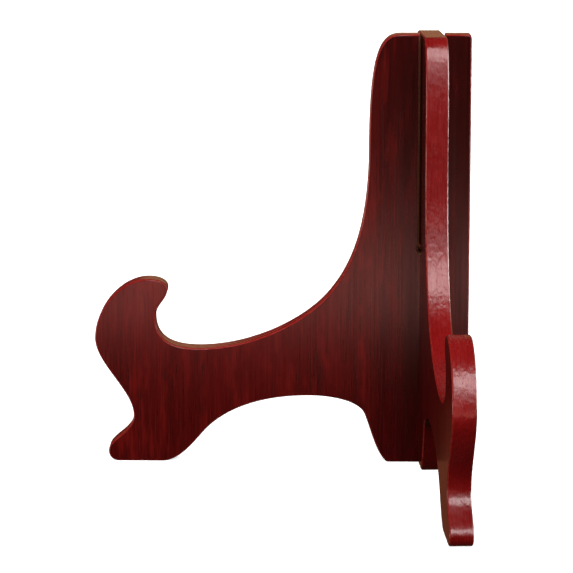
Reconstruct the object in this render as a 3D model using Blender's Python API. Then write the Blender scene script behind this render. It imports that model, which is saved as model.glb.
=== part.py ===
"""Plate display stand: two boards of one scroll outline, crossed in a cross-lap slot joint.

Lengths are in metres and +Z is up. The origin is on the crossing axis, at floor level.
The left leaf points its hook along -X and is slotted from the top. The right leaf points its
hook along -Y, turned a little outwards in the play of the slots. It is slotted from the bottom,
and lifts straight up off the left leaf.
Each leaf is a core board with a thin wood-grain sheet on either face.
"""
import math

import bpy
import bmesh
from mathutils import Vector
from mathutils.geometry import interpolate_bezier

MM = 0.001

# Driving dimensions
HEIGHT = 200 * MM
SPREAD = 93.5               # degrees between the two leaves as they stand
CORE = 9.0 * MM             # stock board inside each leaf
SHEET = 0.4 * MM            # wood-grain sheet on each face
GLUE_LINE = 0.3 * MM        # clearance between a sheet and its core
ARRIS = SHEET + GLUE_LINE   # round-over between the faces and the outline's edge
CORNER = 2.0 * MM           # radius of the outline's square corners
SLOT_PLAY = 0.5 * MM        # clearance on each side of the crossing board
LAP_PLAY = 0.5 * MM         # each slot runs this far past mid-height
RELIEF = 2.0 * MM           # radius of the round relief in a slot's inner corners
SLOT_EASE = 0.6 * MM        # chamfer along a slot's edges

BOARD = CORE + 2 * (SHEET + GLUE_LINE)
SLOT_WIDTH = BOARD + 2 * SLOT_PLAY

# Fineness of the facets
CURVE_TURN = math.radians(12)   # most that a curve turns between two points
CURVE_CHORD = 9 * MM            # most that two points on a curve lie apart
CORNER_STEPS = 4
RELIEF_STEPS = 10
RIM_SHARE = 0.3                 # share of a sheet's thickness in the last facet of its rim
SHARP = math.radians(30)        # a steeper edge than this is shaded sharp

# The outline on a grid of 200 units of height: forward of the crossing axis, above the floor.
# It runs from the rear heel up the back, over the top, down the front to the plate's seat,
# round the hook, down to the toe, and back under the arch to the rear foot.
GRID = HEIGHT / 200
REAR = -18.0
TOP = 200.0
CORNERS = {"rear_heel": (REAR, 0.0), "rear_top": (REAR, TOP), "foot_tip": (19.5, 0.0)}
SHOULDER = (14.5, TOP)
SOLE = ((144.5, 0.0), (124.5, 0.0))
SWEEP = (
    # leaving handle, arriving handle, next knot
    ((24.0, 200.0), (28.6, 190.0), (28.6, 148.0)),      # shoulder into the upright
    ((28.6, 106.0), (38.5, 89.5), (47.5, 79.0)),        # upright bends forward
    ((58.5, 66.2), (83.0, 54.0), (107.0, 54.0)),        # seat
    ((121.5, 54.0), (127.2, 59.0), (127.2, 68.5)),      # inside of the hook
    ((127.2, 74.0), (121.5, 77.0), (121.5, 81.6)),      # hook's tip
    ((121.5, 84.6), (125.0, 86.6), (130.5, 86.6)),      # hook's top
    ((142.5, 86.6), (155.4, 73.5), (155.4, 58.5)),      # hook's front
    ((155.4, 46.5), (137.8, 33.5), (137.8, 22.3)),      # ankle
    ((137.8, 13.5), (149.6, 11.0), (149.6, 5.0)),       # toe
    ((149.6, 2.0), (147.5, 0.0), SOLE[0]),              # under the toe
)
ARCH = (
    ((116.0, 0.0), (109.0, 10.3), (104.0, 15.5)),       # heel of the front foot
    ((95.5, 24.3), (80.0, 31.6), (56.0, 31.6)),         # rise to the crown
    ((45.0, 31.6), (32.5, 29.0), (30.0, 23.0)),         # fall to the rear foot
    ((26.5, 14.0), (24.5, 4.0), CORNERS["foot_tip"]),   # front of the rear foot
)


def clear_scene():
    for obj in list(bpy.data.objects):
        bpy.data.objects.remove(obj, do_unlink=True)


def finish(name, colour, roughness):
    """A plain Principled material."""
    material = bpy.data.materials.new(name)
    material.use_nodes = True
    shader = material.node_tree.nodes["Principled BSDF"]
    shader.inputs["Base Color"].default_value = (*colour, 1.0)
    shader.inputs["Roughness"].default_value = roughness
    shader.inputs["Metallic"].default_value = 0.0
    return material


def curve_points(start, leaving, arriving, end):
    """Points along one Bezier stretch, without its first."""
    knots = [Vector(p) * GRID for p in (start, leaving, arriving, end)]
    legs = [after - before for before, after in zip(knots, knots[1:])]
    turn = legs[0].angle(legs[1], 0.0) + legs[1].angle(legs[2], 0.0)
    length = (knots[3] - knots[0]).length
    steps = max(math.ceil(turn / CURVE_TURN), math.ceil(length / CURVE_CHORD), 2)
    return interpolate_bezier(*knots, steps + 1)[1:]


def sweep_points(start, sweep):
    """Points along a run of Bezier stretches, from its first knot to its last."""
    points = [Vector(start) * GRID]
    knot = start
    for leaving, arriving, end in sweep:
        points.extend(curve_points(knot, leaving, arriving, end))
        knot = end
    return points


def rounded_corner(before, corner, after, radius):
    """Points round a corner, on an arc that touches both of its sides."""
    back = (before - corner).normalized()
    ahead = (after - corner).normalized()
    half = back.angle(ahead) / 2
    centre = corner + (back + ahead).normalized() * radius / math.sin(half)
    first = (corner + back * radius / math.tan(half) - centre).normalized()
    last = (corner + ahead * radius / math.tan(half) - centre).normalized()
    return [centre + radius * first.slerp(last, i / CORNER_STEPS) for i in range(CORNER_STEPS + 1)]


def board_outline():
    """The scroll outline as one closed run of points (forward, up)."""
    front = sweep_points(SHOULDER, SWEEP)
    under = sweep_points(SOLE[1], ARCH)
    heel, top, tip = (Vector(CORNERS[name]) * GRID for name in ("rear_heel", "rear_top", "foot_tip"))
    points = rounded_corner(tip, heel, top, CORNER)
    points += rounded_corner(heel, top, front[0], CORNER)
    points += front + under[:-1]
    points += rounded_corner(under[-2], tip, heel, CORNER / 2)
    return points


def offset(points, distance):
    """The closed outline moved outwards by a distance, or inwards by a negative one."""
    moved = []
    for i, point in enumerate(points):
        before = (point - points[i - 1]).normalized()
        after = (points[(i + 1) % len(points)] - point).normalized()
        outward = Vector((-before.y - after.y, before.x + after.x)).normalized()
        mitre = max(outward.dot(Vector((-after.y, after.x))), 0.5)
        moved.append(point + outward * distance / mitre)
    return moved


def stack_mesh(name, layers):
    """A closed solid through layers of (outline, place across the board)."""
    bm = bmesh.new()
    rings = [[bm.verts.new((p.x, across, p.y)) for p in outline] for outline, across in layers]
    for low, high in zip(rings, rings[1:]):
        for i in range(len(low)):
            j = (i + 1) % len(low)
            bm.faces.new((low[i], low[j], high[j], high[i]))
    bm.faces.new(rings[0])
    bm.faces.new(rings[-1])
    bmesh.ops.recalc_face_normals(bm, faces=bm.faces)
    mesh = bpy.data.meshes.new(name)
    bm.to_mesh(mesh)
    bm.free()
    mesh.shade_smooth()
    mesh.set_sharp_from_angle(angle=SHARP)
    return mesh


def arris_inset(across):
    """How far the round-over has drawn the outline in, at a place across the board."""
    past = min(max(abs(across) - (BOARD / 2 - ARRIS), 0.0), ARRIS)
    return ARRIS - math.sqrt(ARRIS ** 2 - past ** 2)


def board_layers(places):
    outline = board_outline()
    return [(offset(outline, -arris_inset(across)), across) for across in places]


def core_mesh(name):
    """The stock board, which ends where the round-over starts."""
    return stack_mesh(name, board_layers((-CORE / 2, CORE / 2)))


def sheet_mesh(name, side):
    """One face sheet: its edge carries the round-over."""
    inner = CORE / 2 + GLUE_LINE
    outer = BOARD / 2
    middle = outer - SHEET * RIM_SHARE
    return stack_mesh(name, board_layers([side * across for across in (inner, middle, outer)]))


def slot_outline(floor, mouth):
    """A slot on the crossing axis, from its floor to past its mouth, with relieved corners."""
    half = SLOT_WIDTH / 2
    up = math.copysign(1, mouth - floor)
    inwards = RELIEF / math.sqrt(2)
    points = []
    for side in (1, -1):
        centre = Vector((side * (half - inwards), floor + up * inwards))
        arc = []
        for i in range(RELIEF_STEPS + 1):
            # From the wall, out round the corner, to the floor.
            angle = math.radians(45 - 180 * i / RELIEF_STEPS)
            arc.append(centre + RELIEF * Vector((side * math.cos(angle), up * math.sin(angle))))
        points += [Vector((side * half, mouth)), *arc] if side == 1 else [*arc[::-1], Vector((-half, mouth))]
    return points if up > 0 else points[::-1]


def slot_cutter(name, floor, mouth, leaf):
    """A cutter for one slot, flared at both faces so that it eases the slot's edges."""
    outline = slot_outline(floor, mouth)
    outer = BOARD / 2
    beyond = 1 * MM
    layers = []
    for side in (-1, 1):
        wide = (offset(outline, SLOT_EASE + beyond), side * (outer + beyond))
        straight = (outline, side * (outer - SLOT_EASE))
        layers += [wide, straight] if side < 0 else [straight, wide]
    cutter = bpy.data.objects.new(name, stack_mesh(name, layers))
    cutter.hide_render = True
    cutter.display_type = "WIRE"
    cutter.parent = leaf
    bpy.context.scene.collection.objects.link(cutter)
    return cutter


def add_piece(name, mesh, leaf, material, cutter):
    piece = bpy.data.objects.new(name, mesh)
    piece.data.materials.append(material)
    piece.parent = leaf
    bpy.context.scene.collection.objects.link(piece)
    slot = piece.modifiers.new("Slot", "BOOLEAN")
    slot.operation = "DIFFERENCE"
    slot.solver = "EXACT"
    slot.object = cutter


def add_leaf(name, turn, inner_side, floor, mouth, lacquer, grain):
    """One leaf: a core and two face sheets, turned about the crossing axis and slotted."""
    leaf = bpy.data.objects.new(name, None)
    leaf.rotation_euler.z = math.radians(turn)
    bpy.context.scene.collection.objects.link(leaf)
    cutter = slot_cutter(name + "_slot_cutter", floor, mouth, leaf)
    add_piece(name + "_core", core_mesh(name + "_core"), leaf, lacquer, cutter)
    for face, side in (("inner", inner_side), ("outer", -inner_side)):
        sheet = f"{name}_{face}_sheet"
        add_piece(sheet, sheet_mesh(sheet, side), leaf, grain, cutter)


def main():
    clear_scene()
    lacquer = finish("red lacquer", (0.24, 0.008, 0.007), 0.28)
    grain = finish("mahogany grain sheet", (0.045, 0.006, 0.005), 0.42)
    middle = HEIGHT / 2
    past_edge = 5 * MM
    add_leaf("left_leaf", 180, 1, middle - LAP_PLAY, HEIGHT + past_edge, lacquer, grain)
    add_leaf("right_leaf", 180 + SPREAD, -1, middle + LAP_PLAY, -past_edge, lacquer, grain)


main()
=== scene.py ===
import math

import bpy
from mathutils import Matrix, Vector, geometry


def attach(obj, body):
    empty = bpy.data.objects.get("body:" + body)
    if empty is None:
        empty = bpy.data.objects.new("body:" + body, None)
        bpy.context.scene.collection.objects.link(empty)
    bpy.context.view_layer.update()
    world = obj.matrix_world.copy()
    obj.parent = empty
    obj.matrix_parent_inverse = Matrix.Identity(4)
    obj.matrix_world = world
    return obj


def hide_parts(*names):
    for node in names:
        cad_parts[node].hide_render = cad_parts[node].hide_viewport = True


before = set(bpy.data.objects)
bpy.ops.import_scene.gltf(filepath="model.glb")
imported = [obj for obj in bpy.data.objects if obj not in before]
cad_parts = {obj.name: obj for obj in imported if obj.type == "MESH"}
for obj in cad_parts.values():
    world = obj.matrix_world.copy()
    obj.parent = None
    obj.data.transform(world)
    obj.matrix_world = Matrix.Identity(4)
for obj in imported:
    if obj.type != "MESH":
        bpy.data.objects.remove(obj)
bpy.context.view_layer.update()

MM = 0.001

# The stand's driving sizes, as its solids have them.
HEIGHT = 200 * MM
SPREAD = math.radians(93.5)             # turn from one leaf to the other
CORE = 9.0 * MM
SHEET = 0.4 * MM
GLUE_LINE = 0.3 * MM
BOARD = CORE + 2 * (SHEET + GLUE_LINE)
CORNER = 2.0 * MM                       # radius of the rear corners; the rear foot's tip has half of it
SLOT_PLAY = 0.5 * MM                    # clearance on each side of the crossing board
LAP_PLAY = 0.5 * MM                     # each slot runs this far past mid-height
SLOT_WIDTH = BOARD + 2 * SLOT_PLAY
SLOT_FLOOR = HEIGHT / 2 - LAP_PLAY      # floor of the left leaf's slot
SLOT_CEILING = HEIGHT / 2 + LAP_PLAY    # ceiling of the right leaf's slot
RELIEF = 2.0 * MM                       # radius of the routed corners inside a slot

# What only the fine surface has.
ARRIS = SHEET + GLUE_LINE               # sanded edge between a leaf's faces and its rim
ARRIS_CURVE = 0.35 * MM                 # radius where the sanded edge runs out into face and rim
SLOT_EASE = 0.55 * MM                   # sanded edge of a slot, measured along the face
CLEARANCE = 0.02 * MM                   # keeps the finer curves inside the solids' box
SEAT_GAP = 0.03 * MM                    # hairline round a sheet in its recess
RIM = 0.06 * MM                         # softened rim of a sheet
CURVE_CHORD = 1.2 * MM                  # a curve's points lie about this far apart at most
CURVE_TURN = math.radians(4)            # and the curve turns about this much between them
CORNER_STEPS = 8
RELIEF_STEPS = 18
ARRIS_STEPS = 3
SHARP = math.radians(40)                # an edge that turns more than this is shaded sharp
STRAIGHT = 0.99                         # cosine of the turn up to which two edges run straight on

# The side outline, in millimetres: forward of the crossing, above the surface it stands on.
REAR = -18.0
TOP = 200.0
HEEL = (REAR, 0.0)
REAR_TOP = (REAR, TOP)
SHOULDER = (14.5, TOP)
SOLE = ((144.5, 0.0), (124.5, 0.0))
FOOT_TIP = (19.5, 0.0)
SWEEP = (  # leaving handle, arriving handle, next knot
    ((24.0, 200.0), (28.6, 190.0), (28.6, 148.0)),      # shoulder into the upright
    ((28.6, 106.0), (38.5, 89.5), (47.5, 79.0)),        # upright bends forward
    ((58.5, 66.2), (83.0, 54.0), (107.0, 54.0)),        # seat
    ((121.5, 54.0), (127.2, 59.0), (127.2, 68.5)),      # inside of the hook
    ((127.2, 74.0), (121.5, 77.0), (121.5, 81.6)),      # hook's tip
    ((121.5, 84.6), (125.0, 86.6), (130.5, 86.6)),      # hook's top
    ((142.5, 86.6), (155.4, 73.5), (155.4, 58.5)),      # hook's front
    ((155.4, 46.5), (137.8, 33.5), (137.8, 22.3)),      # ankle
    ((137.8, 13.5), (149.6, 11.0), (149.6, 5.0)),       # toe
    ((149.6, 2.0), (147.5, 0.0), SOLE[0]),              # under the toe
)
ARCH = (
    ((116.0, 0.0), (109.0, 10.3), (104.0, 15.5)),       # heel of the front foot
    ((95.5, 24.3), (80.0, 31.6), (56.0, 31.6)),         # rise to the crown
    ((45.0, 31.6), (32.5, 29.0), (30.0, 23.0)),         # fall to the rear foot
    ((26.5, 14.0), (24.5, 4.0), FOOT_TIP),              # front of the rear foot
)

# Where the two leaves' noise is read, in the noise's own units, so that their figures differ.
LEFT_FIGURE = (0.0, 0.0, 0.0)
RIGHT_FIGURE = (37.0, 11.0, 5.0)

# Colours, as linear red, green and blue
# The next colour is also the painted shade near the crossing.
GRAIN_DARK = (0.023, 0.0007, 0.0007)
GRAIN_RED = (0.074, 0.0020, 0.0018)
# The next colour is painted shade on the grain, darker towards the floor.
GRAIN_LOW_SHADE = (0.038, 0.0011, 0.0011)
GRAIN_HOOK = (0.125, 0.0036, 0.0030)
GRAIN_PATCH = (0.135, 0.0046, 0.0036)
GRAIN_STREAK = (0.016, 0.0008, 0.0008)
FIBRE_BRIGHT = (0.125, 0.0056, 0.0042)
FIBRE_DARK = (0.012, 0.0007, 0.0007)
PORE = (0.006, 0.0008, 0.0007)
LACQUER_DEEP = (0.150, 0.0025, 0.0030)
LACQUER_THIN = (0.185, 0.0045, 0.0045)
LACQUER_DARK_SPOT = (0.11, 0.0015, 0.0020)
LACQUER_PALE_SPOT = (0.23, 0.0085, 0.0080)
# The next two are painted shade: low down under the hook, and on the rear foot under the arch.
LACQUER_LOW_SHADE = (0.06, 0.0008, 0.0010)
LACQUER_REAR_FOOT_SHADE = (0.035, 0.0008, 0.0010)
LACQUER_RUBBED = (0.25, 0.020, 0.013)
SLOT_BROWN = (0.09, 0.030, 0.015)
SLOT_TAN = (0.17, 0.062, 0.031)
SLOT_STAIN = (0.09, 0.018, 0.010)
WHITE = (1.0, 1.0, 1.0)
FLOOR_PALE = (0.93, 0.93, 0.93)
FLOOR_TONE = (0.90, 0.90, 0.90)
ROOM = (0.03, 0.025, 0.02)
ROOM_BACK = (0.44, 0.33, 0.165)         # low behind the object
ROOM_FLOOR = (0.03, 0.018, 0.012)
ROOM_FLOOR_BACK = (0.18, 0.052, 0.026)
WARM_WHITE = (1.0, 0.86, 0.76)
WARM_RED = (1.0, 0.43, 0.37)

# Where on a leaf the colour and the painted shade change: from and to, in millimetres forward of the
# crossing.
# painted shade: the grain is darkest near the crossing, where the other leaf stands, and redder away from
# it
GRAIN_REDDENS = (2.0, 40.0)
FIGURE_SHOWS = (8.0, 36.0)              # patches and bright fibres
HOOK_FORWARD = (100.0, 128.0)
# painted shade on the rear foot, under the arch, comes in rearward of these
REAR_SIDE = (70.0, 45.0)

# The same, in millimetres up.
HOOK_UP = (40.0, 80.0)
# The next three are painted shade: grain and lacquer darker towards the floor, and the rear foot darker
# under the arch.
GRAIN_DARKENS = (62.0, 8.0)
LACQUER_DARKENS = (62.0, 28.0)
REAR_FOOT_DARKENS = (62.0, 30.0)


# ---------------------------------------------------------------- outlines

def point(pair):
    return Vector((pair[0] * MM, pair[1] * MM))


def turn_between(a, b):
    return a.angle(b, 0.0)


def curve_points(start, pieces):
    """Points along joined Bezier pieces, close enough for each chord to look round."""
    points = [point(start)]
    for leaving, arriving, knot in pieces:
        control = [points[-1], point(leaving), point(arriving), point(knot)]
        legs = [after - before for before, after in zip(control, control[1:])]
        length = sum(leg.length for leg in legs)
        turn = turn_between(legs[0], legs[1]) + turn_between(legs[1], legs[2])
        steps = math.ceil(max(length / CURVE_CHORD, turn / CURVE_TURN))
        points += geometry.interpolate_bezier(*control, steps + 1)[1:]
    return points


def arc_points(centre, radius, start, end, steps):
    """Points of an arc, both ends included, with its angles in radians."""
    angles = [start + (end - start) * step / steps for step in range(steps + 1)]
    return [centre + radius * Vector((math.cos(a), math.sin(a))) for a in angles]


def rounded_corner(before, corner, after, radius):
    """Points of the arc that rounds a corner of a path that turns clockwise."""
    arriving = (before - corner).normalized()
    leaving = (after - corner).normalized()
    half = turn_between(arriving, leaving) / 2
    centre = corner + (arriving + leaving).normalized() * radius / math.sin(half)
    first = corner + arriving * radius / math.tan(half) - centre
    last = corner + leaving * radius / math.tan(half) - centre
    start = math.atan2(first.y, first.x)
    end = start - turn_between(first, last)
    return arc_points(centre, radius, start, end, CORNER_STEPS)


def slot_points(mouth, end):
    """Points down one wall of a slot, round its end and back, from above or from below."""
    way = math.copysign(1.0, mouth - end)     # +1 where the slot opens upwards
    wall = SLOT_WIDTH / 2
    reach = RELIEF / math.sqrt(2)
    left = Vector((-wall * way + reach * way, end + reach * way))
    right = Vector((wall * way - reach * way, end + reach * way))
    turned = 0.0 if way > 0 else math.pi
    from_wall = math.radians(135) + turned    # each relief is a half turn through its corner
    from_end = math.radians(225) + turned
    points = [Vector((-wall * way, mouth))]
    points += arc_points(left, RELIEF, from_wall, from_wall + math.pi, RELIEF_STEPS)
    points += arc_points(right, RELIEF, from_end, from_end + math.pi, RELIEF_STEPS)
    points.append(Vector((wall * way, mouth)))
    return points


def leaf_outline(slot_opens_up):
    """The board's outline, clockwise, as points with the ease of the edge that leaves each."""
    heel, rear_top, tip = point(HEEL), point(REAR_TOP), point(FOOT_TIP)
    front = curve_points(SHOULDER, SWEEP)
    under = curve_points(SOLE[1], ARCH)
    outline = []

    def add(points, ease=ARRIS):
        outline.extend((p, ease) for p in points)

    def add_slot(mouth, end):
        *walls, last = slot_points(mouth, end)
        add(walls, SLOT_EASE)
        add([last])

    add(rounded_corner(tip, heel, rear_top, CORNER))
    add(rounded_corner(heel, rear_top, front[0], CORNER))
    if slot_opens_up:
        add_slot(HEIGHT, SLOT_FLOOR)
    add(front)
    add(under[:-1])
    add(rounded_corner(under[-2], tip, heel, CORNER / 2))
    if not slot_opens_up:
        add_slot(0.0, SLOT_CEILING)
    return outline


def inset(outline, share, extra=0.0):
    """The outline moved into the board by a share of each edge's ease, and by extra."""
    moved = []
    for i, (here, ease) in enumerate(outline):
        before, ease_before = outline[i - 1]
        after = outline[(i + 1) % len(outline)][0]
        arriving = (here - before).normalized()
        leaving = (after - here).normalized()
        into_a = Vector((arriving.y, -arriving.x))
        into_b = Vector((leaving.y, -leaving.x))
        a = share * ease_before + extra
        b = share * ease + extra
        along = into_a.dot(into_b)
        if along > STRAIGHT:
            shift = (into_a + into_b) * (a + b) / 2 / (1 + along)
        else:
            shift = ((a - b * along) * into_a + (b - a * along) * into_b) / (1 - along ** 2)
        moved.append(here + shift)
    return moved


# ---------------------------------------------------------------- meshes

def ring_mesh(name, rings, slot_edges, wear):
    """A closed solid from rings of the same length: (points, place across the board).

    slot_edges says which edges of a ring run along slot walls, and wear has a number for each ring.
    """
    count = len(rings[0][0])
    places = [(p.x, across, p.y) for points, across in rings for p in points]
    faces = [tuple(range(count))]
    walls = []
    for level in range(len(rings) - 1):
        low, high = level * count, (level + 1) * count
        for i in range(count):
            j = (i + 1) % count
            faces.append((low + i, high + i, high + j, low + j))
            walls.append(slot_edges[i])
    top = (len(rings) - 1) * count
    faces.append(tuple(range(top + count - 1, top - 1, -1)))
    mesh = bpy.data.meshes.new(name)
    mesh.from_pydata(places, [], faces)
    mesh.validate()
    mesh.shade_smooth()
    mesh.set_sharp_from_angle(angle=SHARP)
    for face, wall in zip(mesh.polygons[1:-1], walls):
        face.material_index = int(wall)
    worn = mesh.attributes.new("wear", "FLOAT", "POINT")
    worn.data.foreach_set("value", [w for w in wear for _ in range(count)])
    on_board = mesh.attributes.new("on_board", "FLOAT_VECTOR", "POINT")
    on_board.data.foreach_set("vector", [x for place in places for x in place])
    return mesh


def arris_profile():
    """The sanded edge from face to rim: (way in from the rim, depth below the face, slope)."""
    halfway = math.radians(45)
    slopes = [halfway * step / ARRIS_STEPS for step in range(ARRIS_STEPS + 1)]
    upper = [(ARRIS - ARRIS_CURVE * math.sin(a), ARRIS_CURVE * (1 - math.cos(a)), a) for a in slopes]
    lower = [(depth, way_in, 2 * halfway - a) for way_in, depth, a in reversed(upper)]
    return upper + lower


def board_mesh(name, outline):
    """The lacquered board, with sanded arrises and a shallow recess for each sheet."""
    face = BOARD / 2 - CLEARANCE
    recess = BOARD / 2 - SHEET
    rings = [(inset(outline, 1.0, CLEARANCE), recess)]
    wear = [0.0]
    for way_in, depth, slope in arris_profile():
        rings.append((inset(outline, way_in / ARRIS, CLEARANCE), face - depth))
        wear.append(math.sin(2 * slope))
    rings += [(points, -across) for points, across in reversed(rings)]
    wear += wear[::-1]
    slot_edges = [ease == SLOT_EASE for _, ease in outline]
    return ring_mesh(name, rings, slot_edges, wear)


def sheet_mesh(name, outline, side):
    """A thin grained sheet that lies in the board's recess, flush with its arrises."""
    face = BOARD / 2 - CLEARANCE
    seat = CLEARANCE + SEAT_GAP
    rings = [
        (inset(outline, 1.0, seat), BOARD / 2 - SHEET + SEAT_GAP),
        (inset(outline, 1.0, seat), face - RIM),
        (inset(outline, 1.0, seat + RIM / 3), face - RIM / 3),
        (inset(outline, 1.0, seat + RIM), face),
    ]
    if side > 0:
        rings = rings[::-1]
    else:
        rings = [(points, -across) for points, across in rings]
    plain = [False] * len(outline)
    return ring_mesh(name, rings, plain, [0.0] * len(rings))


# ---------------------------------------------------------------- materials

# A Mix node's sockets for colours, which have the same names as its sockets for numbers.
MIX_FACTOR, MIX_A, MIX_B, MIX_RESULT = 0, 6, 7, 2


class Nodes:
    """The node tree of a material or a world, and short calls that add nodes to it."""

    def __init__(self, owner):
        owner.use_nodes = True
        self.tree = owner.node_tree

    def put(self, socket, value):
        if isinstance(value, bpy.types.NodeSocket):
            self.tree.links.new(value, socket)
        else:
            socket.default_value = value

    def node(self, kind, inputs, output=0, **settings):
        """One output of a new node, whose inputs are set or linked."""
        made = self.tree.nodes.new(kind)
        for name, value in settings.items():
            setattr(made, name, value)
        for name, value in inputs.items():
            self.put(made.inputs[name], value)
        return made.outputs[output]

    def fade(self, value, start, end, low=0.0, high=1.0):
        """Value taken smoothly from start..end to low..high."""
        limits = {"Value": value, "From Min": start, "From Max": end, "To Min": low, "To Max": high}
        return self.node("ShaderNodeMapRange", limits, interpolation_type="SMOOTHSTEP")

    def math(self, operation, a, b):
        return self.node("ShaderNodeMath", {0: a, 1: b}, operation=operation)

    def mix(self, share, a, b):
        """Colour a where the share is 0 and b where it is 1."""
        a, b = (c if isinstance(c, bpy.types.NodeSocket) else (*c, 1.0) for c in (a, b))
        inputs = {MIX_FACTOR: share, MIX_A: a, MIX_B: b}
        return self.node("ShaderNodeMix", inputs, output=MIX_RESULT, data_type="RGBA")


class Shader(Nodes):
    """A material. Its axes and noise are the board's own, unless its place is set to another."""

    def __init__(self, name):
        self.material = bpy.data.materials.new(name)
        super().__init__(self.material)
        self.surface = self.tree.nodes["Principled BSDF"]
        self.place = self.attribute("on_board", "Vector")

    def attribute(self, name, output):
        return self.node("ShaderNodeAttribute", {}, output=output, attribute_name=name)

    def axis(self, name):
        """The place on the board along X, Y or Z, in millimetres."""
        split = self.node("ShaderNodeSeparateXYZ", {0: self.place}, output=name)
        return self.math("DIVIDE", split, MM)

    def noise(self, frequency, shift=(0, 0, 0), detail=2.0, roughness=0.5, distortion=0.0):
        """Noise whose features per millimetre along each axis are frequency."""
        scale = [f / MM for f in frequency]
        vector = self.node("ShaderNodeMapping", {"Vector": self.place, "Scale": scale, "Location": shift})
        settings = {"Vector": vector, "Scale": 1.0, "Detail": detail, "Roughness": roughness,
                    "Distortion": distortion}
        return self.node("ShaderNodeTexNoise", settings)

    def bump(self, height, distance, normal=None):
        inputs = {"Height": height, "Distance": distance, "Strength": 1.0}
        if normal:
            inputs["Normal"] = normal
        return self.node("ShaderNodeBump", inputs)

    def finish(self, **inputs):
        """The material, with these inputs of its surface set or linked."""
        for name, value in inputs.items():
            self.put(self.surface.inputs[name.replace("_", " ")], value)
        return self.material


def grain_material(name, shift):
    """Dark red mahogany figure, its grain upright, redder on the hook, with painted shade: darker near the
    crossing and towards the floor.
    """
    look = Shader(name)
    bands = look.noise((0.13, 0.3, 0.005), shift, detail=3, distortion=0.3)
    streaks = look.noise((0.9, 0.3, 0.012), shift, detail=4, roughness=0.65)
    fibres = look.noise((1.5, 0.3, 0.045), shift, detail=3, roughness=0.6)
    pores = look.noise((2.6, 0.3, 0.14), shift, detail=1, roughness=0.4)
    blotch = look.noise((0.22, 0.3, 0.05), shift, detail=3)

    # Painted shade near the crossing, where the other leaf stands: the red fades out there. The bands vary
    # at random.
    red = look.fade(look.axis("X"), *GRAIN_REDDENS, 0.06, 0.66)
    red = look.math("ADD", red, look.fade(bands, 0.3, 0.7, -0.22, 0.22))
    colour = look.mix(red, GRAIN_DARK, GRAIN_RED)
    # Painted shade: the grain darkens towards the floor.
    low = look.fade(look.axis("Z"), *GRAIN_DARKENS, 0.0, 0.55)
    colour = look.mix(low, colour, GRAIN_LOW_SHADE)
    forward = look.fade(look.axis("X"), *HOOK_FORWARD)
    hook = look.math("MULTIPLY", forward, look.fade(look.axis("Z"), *HOOK_UP, 0.0, 0.40))
    colour = look.mix(hook, colour, GRAIN_HOOK)
    # The patches and bright fibres fade near the crossing, along with the painted shade.
    away = look.fade(look.axis("X"), *FIGURE_SHOWS, 0.3, 1.0)
    patch = look.math("MULTIPLY", away, look.fade(blotch, 0.46, 0.70, 0.0, 0.48))
    colour = look.mix(patch, colour, GRAIN_PATCH)
    colour = look.mix(look.fade(streaks, 0.46, 0.74, 0.0, 0.32), colour, GRAIN_STREAK)
    bright = look.math("MULTIPLY", away, look.fade(fibres, 0.50, 0.72, 0.0, 0.40))
    colour = look.mix(bright, colour, FIBRE_BRIGHT)
    colour = look.mix(look.fade(fibres, 0.50, 0.28, 0.0, 0.32), colour, FIBRE_DARK)
    colour = look.mix(look.fade(pores, 0.58, 0.76, 0.0, 0.35), colour, PORE)

    roughness = look.fade(streaks, 0.3, 0.75, 0.18, 0.24)
    skin = look.noise((0.9, 0.9, 0.9), shift, detail=1)
    normal = look.bump(skin, 0.008 * MM)
    normal = look.bump(streaks, 0.004 * MM, normal)
    return look.finish(Base_Color=colour, Roughness=roughness, Normal=normal)


def lacquer_material(name, shift):
    """Glossy red lacquer on a sanded edge: orange peel, brushed lines, wear at the arrises, and painted
    shade towards the floor and on the rear foot.
    """
    look = Shader(name)
    worn = look.attribute("wear", "Fac")
    cloud = look.noise((0.05, 0.05, 0.05), shift, detail=3)
    mottle = look.noise((0.6, 0.6, 0.6), shift, detail=3, roughness=0.6)
    peel = look.noise((0.45, 0.45, 0.32), shift, detail=2, roughness=0.5)
    brushed = look.noise((0.07, 1.2, 0.07), shift, detail=2)

    colour = look.mix(look.fade(cloud, 0.35, 0.65), LACQUER_DEEP, LACQUER_THIN)
    colour = look.mix(look.fade(mottle, 0.5, 0.75, 0.0, 0.40), colour, LACQUER_DARK_SPOT)
    colour = look.mix(look.fade(mottle, 0.45, 0.25, 0.0, 0.45), colour, LACQUER_PALE_SPOT)
    # Painted shade: the lacquer darkens towards the floor, under the hook.
    colour = look.mix(look.fade(look.axis("Z"), *LACQUER_DARKENS, 0.0, 0.42), colour, LACQUER_LOW_SHADE)
    # Painted shade on the rear foot, under the arch.
    rearward = look.fade(look.axis("X"), *REAR_SIDE)
    rear_foot_shade = look.math("MULTIPLY", rearward, look.fade(look.axis("Z"), *REAR_FOOT_DARKENS, 0.0, 0.65))
    colour = look.mix(rear_foot_shade, colour, LACQUER_REAR_FOOT_SHADE)
    rubbed = look.math("MULTIPLY", worn, look.fade(mottle, 0.42, 0.62, 0.1, 0.6))
    colour = look.mix(rubbed, colour, LACQUER_RUBBED)

    roughness = look.fade(cloud, 0.3, 0.7, 0.22, 0.28)
    roughness = look.math("ADD", roughness, look.fade(brushed, 0.35, 0.65, -0.02, 0.05))
    normal = look.bump(peel, 0.28 * MM)
    normal = look.bump(brushed, 0.022 * MM, normal)
    return look.finish(Base_Color=colour, Roughness=roughness, Normal=normal)


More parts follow.
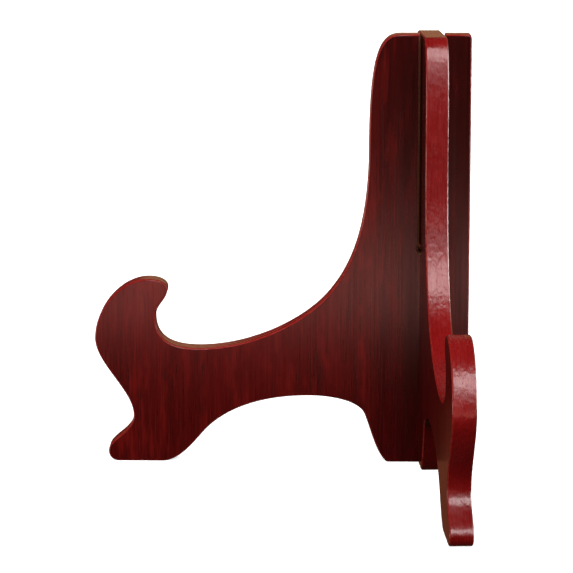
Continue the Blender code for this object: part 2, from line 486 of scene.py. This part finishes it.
def slot_material(name, shift):
    """Routed slot wall, where the stain is thin and the board shows brown."""
    look = Shader(name)
    cutter_marks = look.noise((0.2, 0.05, 1.6), shift, detail=3, roughness=0.6)
    speckle = look.noise((2.5, 2.5, 2.5), shift, detail=2)
    colour = look.mix(look.fade(cutter_marks, 0.35, 0.7), SLOT_BROWN, SLOT_TAN)
    colour = look.mix(look.fade(speckle, 0.5, 0.8, 0.0, 0.6), colour, SLOT_STAIN)
    normal = look.bump(cutter_marks, 0.05 * MM)
    roughness = look.fade(speckle, 0.3, 0.7, 0.5, 0.65)
    return look.finish(Base_Color=colour, Roughness=roughness, Normal=normal)


def floor_material():
    """A plain matt pale floor, with a glow of its own that keeps the shadows light."""
    look = Shader("pale_floor")
    look.place = look.node("ShaderNodeTexCoord", {}, output="Object")
    tone = look.noise((0.002, 0.002, 0.002), detail=2)
    colour = look.mix(tone, FLOOR_PALE, FLOOR_TONE)
    roughness = look.fade(tone, 0.3, 0.7, 0.85, 0.95)
    glow = (*WHITE, 1.0)
    return look.finish(Base_Color=colour, Roughness=roughness, Emission_Color=glow, Emission_Strength=0.7)


# ---------------------------------------------------------------- the stand

def add_piece(mesh, turn, body, node, materials):
    """A piece turned into its leaf's place. It rides on the body and stands in for the node."""
    for material in materials:
        mesh.materials.append(material)
    mesh.transform(Matrix.Rotation(turn, 4, "Z"))
    piece = bpy.data.objects.new(mesh.name, mesh)
    bpy.context.scene.collection.objects.link(piece)
    normals = piece.modifiers.new("even shading", "WEIGHTED_NORMAL")
    normals.keep_sharp = True
    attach(piece, body)
    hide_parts(node)


def add_leaf(name, turn, slot_opens_up, inner_side, shift):
    """A leaf: its lacquered board and a grain sheet on each face, the inner one towards a plate."""
    outline = leaf_outline(slot_opens_up)
    lacquer = lacquer_material(f"{name}_lacquer", shift)
    slot_wall = slot_material(f"{name}_slot_wall", shift)
    grain = grain_material(f"{name}_grain", shift)
    board = board_mesh(f"{name}_board", outline)
    add_piece(board, turn, name, f"{name}_core", [lacquer, slot_wall])
    for place, side in (("inner", inner_side), ("outer", -inner_side)):
        sheet = sheet_mesh(f"{name}_{place}_grain", outline, side)
        add_piece(sheet, turn, name, f"{name}_{place}_sheet", [grain])


# ---------------------------------------------------------------- the studio

def add_floor():
    """A wide disc that only the camera sees, so that it lights and shades nothing."""
    radius = 14.0
    sides = 96
    angles = [math.tau * side / sides for side in range(sides)]
    places = [(radius * math.cos(a), radius * math.sin(a), 0.0) for a in angles]
    mesh = bpy.data.meshes.new("floor")
    mesh.from_pydata(places, [], [tuple(range(sides))])
    mesh.materials.append(floor_material())
    floor = bpy.data.objects.new("floor", mesh)
    floor.visible_glossy = False
    floor.visible_diffuse = False
    floor.visible_shadow = False
    bpy.context.scene.collection.objects.link(floor)


def direction(azimuth, elevation):
    """The way to a light, with azimuth 0 on the camera's side and 90 to its right."""
    a, e = math.radians(azimuth), math.radians(elevation)
    return Vector((math.sin(a) * math.cos(e), -math.cos(a) * math.cos(e), math.sin(e)))


def add_sun(name, azimuth, elevation, strength, width, glossy=True, diffuse=True, colour=WHITE):
    """A far softbox of that width in degrees. Strength is what falls on a surface that faces it."""
    light = bpy.data.lights.new(name, "SUN")
    light.energy = strength
    light.angle = math.radians(width)
    light.color = colour
    sun = bpy.data.objects.new(name, light)
    sun.visible_glossy = glossy
    sun.visible_diffuse = diffuse
    sun.rotation_euler = direction(azimuth, elevation).to_track_quat("Z", "Y").to_euler()
    bpy.context.scene.collection.objects.link(sun)


def add_card(name, place, facing, size, radiance, colour):
    """A glowing card that only reflections show."""
    light = bpy.data.lights.new(name, "AREA")
    light.shape = "RECTANGLE"
    light.size, light.size_y = size
    light.energy = radiance * math.pi * size[0] * size[1]
    light.color = colour
    card = bpy.data.objects.new(name, light)
    card.location = place
    card.rotation_euler = Vector(facing).to_track_quat("-Z", "Y").to_euler()
    card.visible_camera = False
    card.visible_diffuse = False
    bpy.context.scene.collection.objects.link(card)


def add_world():
    """White behind the object, and a dim warm room in its reflections."""
    world = bpy.data.worlds.new("studio")
    bpy.context.scene.world = world
    sky = Nodes(world)
    way = sky.node("ShaderNodeTexCoord", {}, output="Generated")
    right, back, up = (sky.node("ShaderNodeSeparateXYZ", {0: way}, output=axis) for axis in "XYZ")

    rising = sky.fade(up, -0.02, 0.12)
    low = sky.fade(up, 0.75, 0.3)
    behind = sky.fade(back, -0.1, 0.7)
    rightward = sky.fade(right, -0.17, -0.07)
    room_back = rising
    for part in (low, behind, rightward):
        room_back = sky.math("MULTIPLY", room_back, part)
    room = sky.mix(rising, sky.mix(behind, ROOM_FLOOR, ROOM_FLOOR_BACK), ROOM)
    room = sky.mix(room_back, room, ROOM_BACK)

    seen = sky.node("ShaderNodeLightPath", {}, output="Is Camera Ray")
    sky.put(sky.tree.nodes["Background"].inputs["Color"], sky.mix(seen, room, WHITE))


def add_camera():
    """The photograph's viewpoint: lens in millimetres, place in metres, turns in radians."""
    data = bpy.data.cameras.new("camera")
    data.sensor_width = 36.0
    data.lens = 171.2
    camera = bpy.data.objects.new("camera", data)
    camera.location = (-0.0431, -1.2420, 0.3187)
    tilt_down, turn_left = 0.1880, 0.0188
    camera.rotation_euler = (math.pi / 2 - tilt_down, 0.0, turn_left)
    bpy.context.scene.collection.objects.link(camera)
    bpy.context.scene.camera = camera


add_camera()
add_leaf("left_leaf", math.pi, slot_opens_up=True, inner_side=1, shift=LEFT_FIGURE)
add_leaf("right_leaf", math.pi + SPREAD, slot_opens_up=False, inner_side=-1, shift=RIGHT_FIGURE)
add_floor()
add_world()

# Light that falls on the surfaces
add_sun("main", azimuth=12, elevation=37, strength=3.8, width=50, glossy=False)
add_sun("left_fill", azimuth=-70, elevation=25, strength=1.8, width=50, glossy=False)
add_sun("rear_fill", azimuth=195, elevation=45, strength=1.0, width=30, glossy=False)

# Light that only reflections show: bright bands on the curved edges, streaks along the arrises
add_sun("softbox", azimuth=12, elevation=43, strength=1.5, width=28, diffuse=False)
add_sun("softbox_skirt", azimuth=12, elevation=22, strength=0.25, width=28, diffuse=False)
add_sun("right_strip", azimuth=97, elevation=9, strength=3.0, width=30, diffuse=False)
add_sun("left_strip", azimuth=-88, elevation=-4, strength=0.33, width=18, diffuse=False, colour=WARM_WHITE)
add_card("floor_card", (0.0, -0.465, 0.001), (0, 0, 1), size=(1.4, 0.26), radiance=2.6, colour=WARM_RED)

bpy.context.scene.view_settings.view_transform = "Standard"
